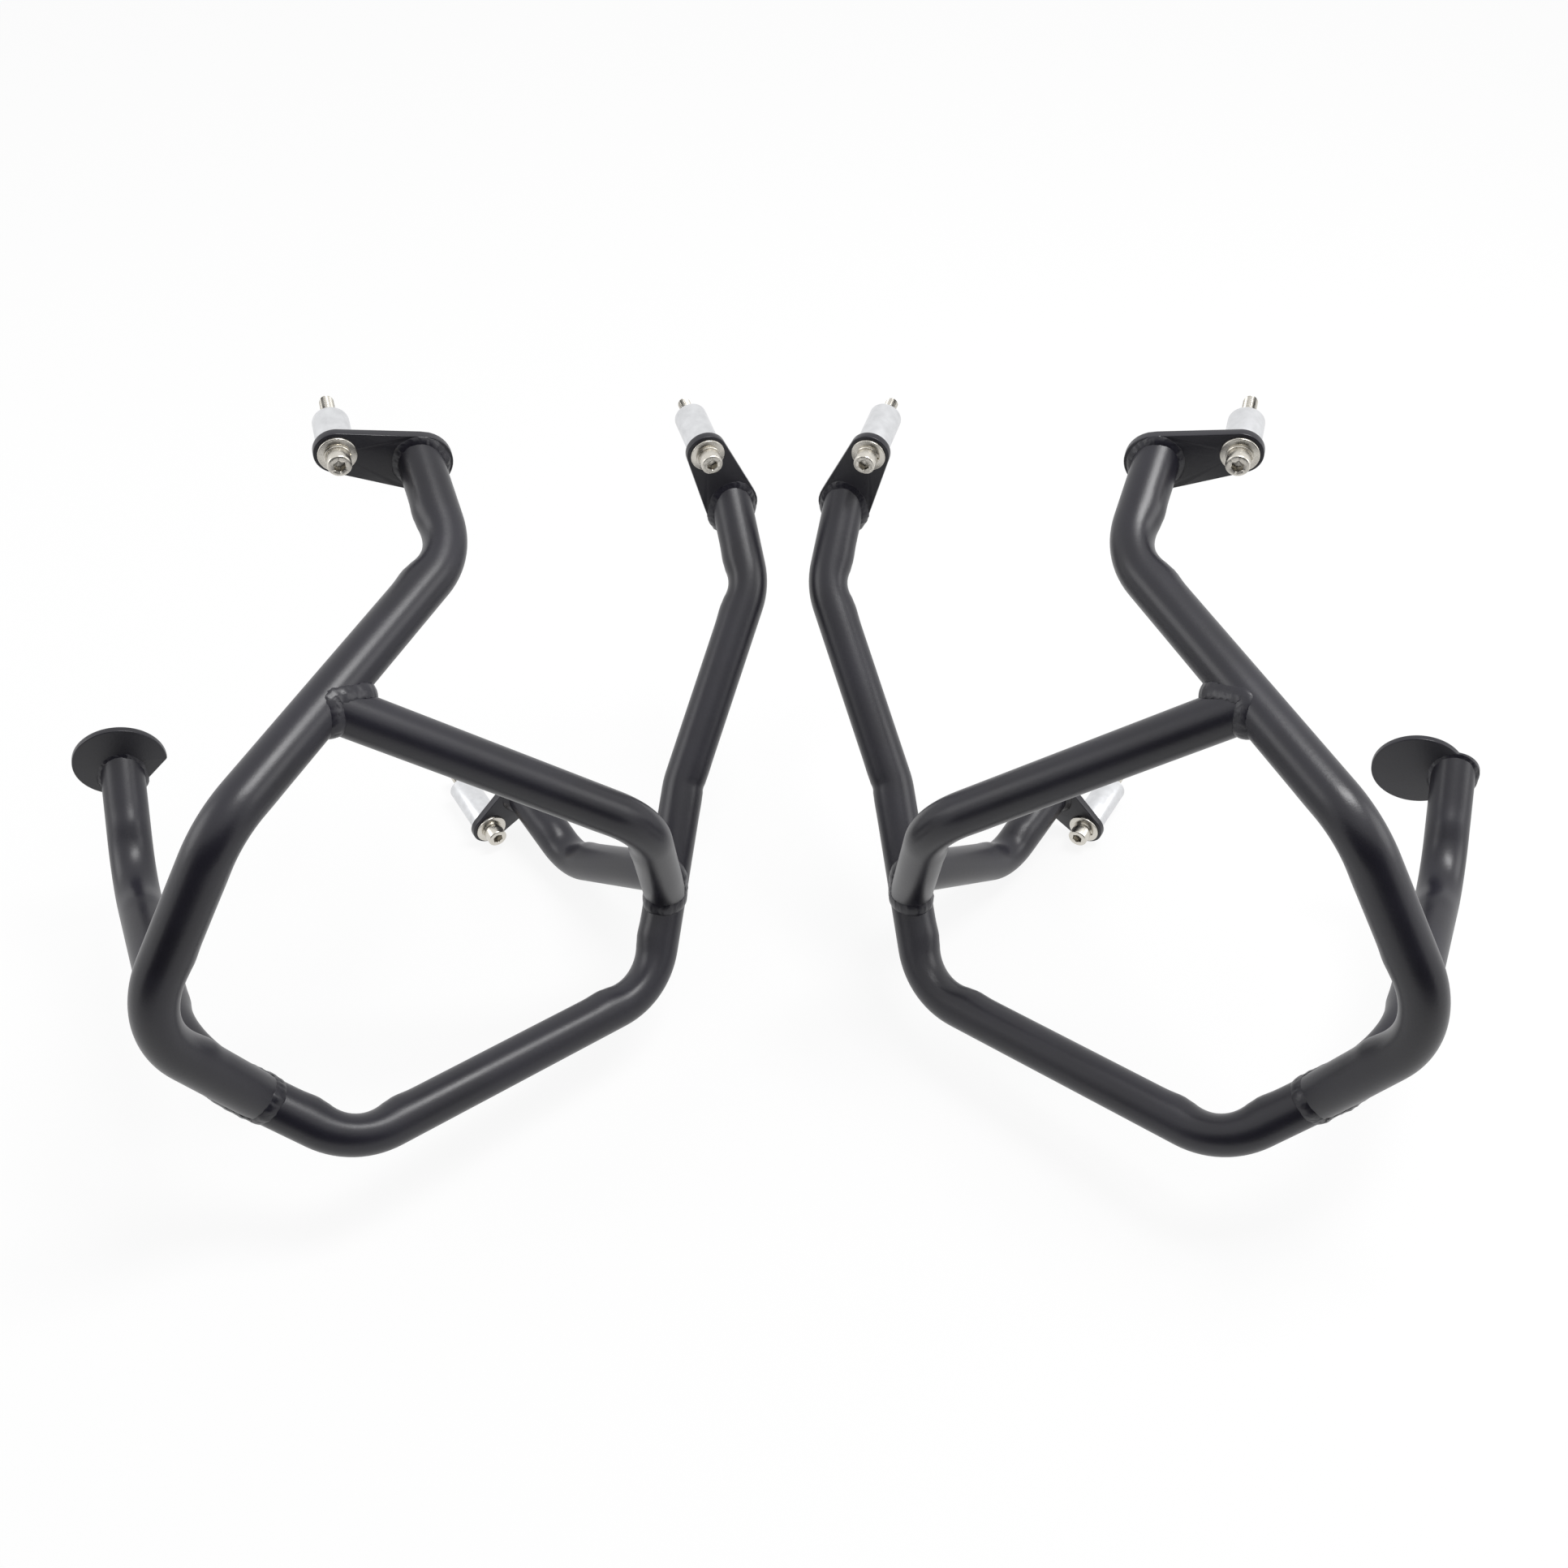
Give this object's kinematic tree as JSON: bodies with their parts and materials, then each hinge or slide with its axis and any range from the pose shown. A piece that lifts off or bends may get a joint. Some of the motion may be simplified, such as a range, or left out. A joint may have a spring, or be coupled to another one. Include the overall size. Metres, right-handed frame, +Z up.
{
  "type": "motorcycle crash bars",
  "caption": "Left and right bent tube crash bars for a motorcycle, with welded plates, pads, cap screws, washers and turned spacers.",
  "frame": {"origin": "middle of the underside of the pair, midway between the two bars", "axes": "+Z up as fitted, +Y towards the motorcycle, the way the bolts point, and away from the viewer of the picture, +X across the pair towards the right-hand bar"},
  "size_m": [0.8554, 0.4293, 0.3502],
  "materials": {
    "powder_coat": "satin black powder coat with a fine texture",
    "turned_aluminium": "turned, bright, with fine rings",
    "zinc_plate": "zinc plated steel, satin"
  },
  "bodies": {
    "root": {"left_hoop_tube": "powder_coat", "left_frame_tube": "powder_coat", "left_cross_tube": "powder_coat", "left_stub_tube": "powder_coat", "left_upper_outer_plate": "powder_coat", "left_upper_inner_plate": "powder_coat", "left_middle_plate": "powder_coat", "left_pad": "powder_coat", "left_welds": "powder_coat", "left_upper_outer_bolt": "zinc_plate", "left_upper_outer_spring_washer": "zinc_plate", "left_upper_outer_flat_washer": "zinc_plate", "left_upper_outer_spacer": "turned_aluminium", "left_upper_inner_bolt": "zinc_plate", "left_upper_inner_spring_washer": "zinc_plate", "left_upper_inner_flat_washer": "zinc_plate", "left_upper_inner_spacer": "turned_aluminium", "left_middle_bolt": "zinc_plate", "left_middle_spring_washer": "zinc_plate", "left_middle_flat_washer": "zinc_plate", "left_middle_spacer": "turned_aluminium", "right_hoop_tube": "powder_coat", "right_frame_tube": "powder_coat", "right_cross_tube": "powder_coat", "right_stub_tube": "powder_coat", "right_upper_outer_plate": "powder_coat", "right_upper_inner_plate": "powder_coat", "right_middle_plate": "powder_coat", "right_pad": "powder_coat", "right_welds": "powder_coat", "right_upper_outer_bolt": "zinc_plate", "right_upper_outer_spring_washer": "zinc_plate", "right_upper_outer_flat_washer": "zinc_plate", "right_upper_outer_spacer": "turned_aluminium", "right_upper_inner_bolt": "zinc_plate", "right_upper_inner_spring_washer": "zinc_plate", "right_upper_inner_flat_washer": "zinc_plate", "right_upper_inner_spacer": "turned_aluminium", "right_middle_bolt": "zinc_plate", "right_middle_spring_washer": "zinc_plate", "right_middle_flat_washer": "zinc_plate", "right_middle_spacer": "turned_aluminium"}
  },
  "joints": []
}
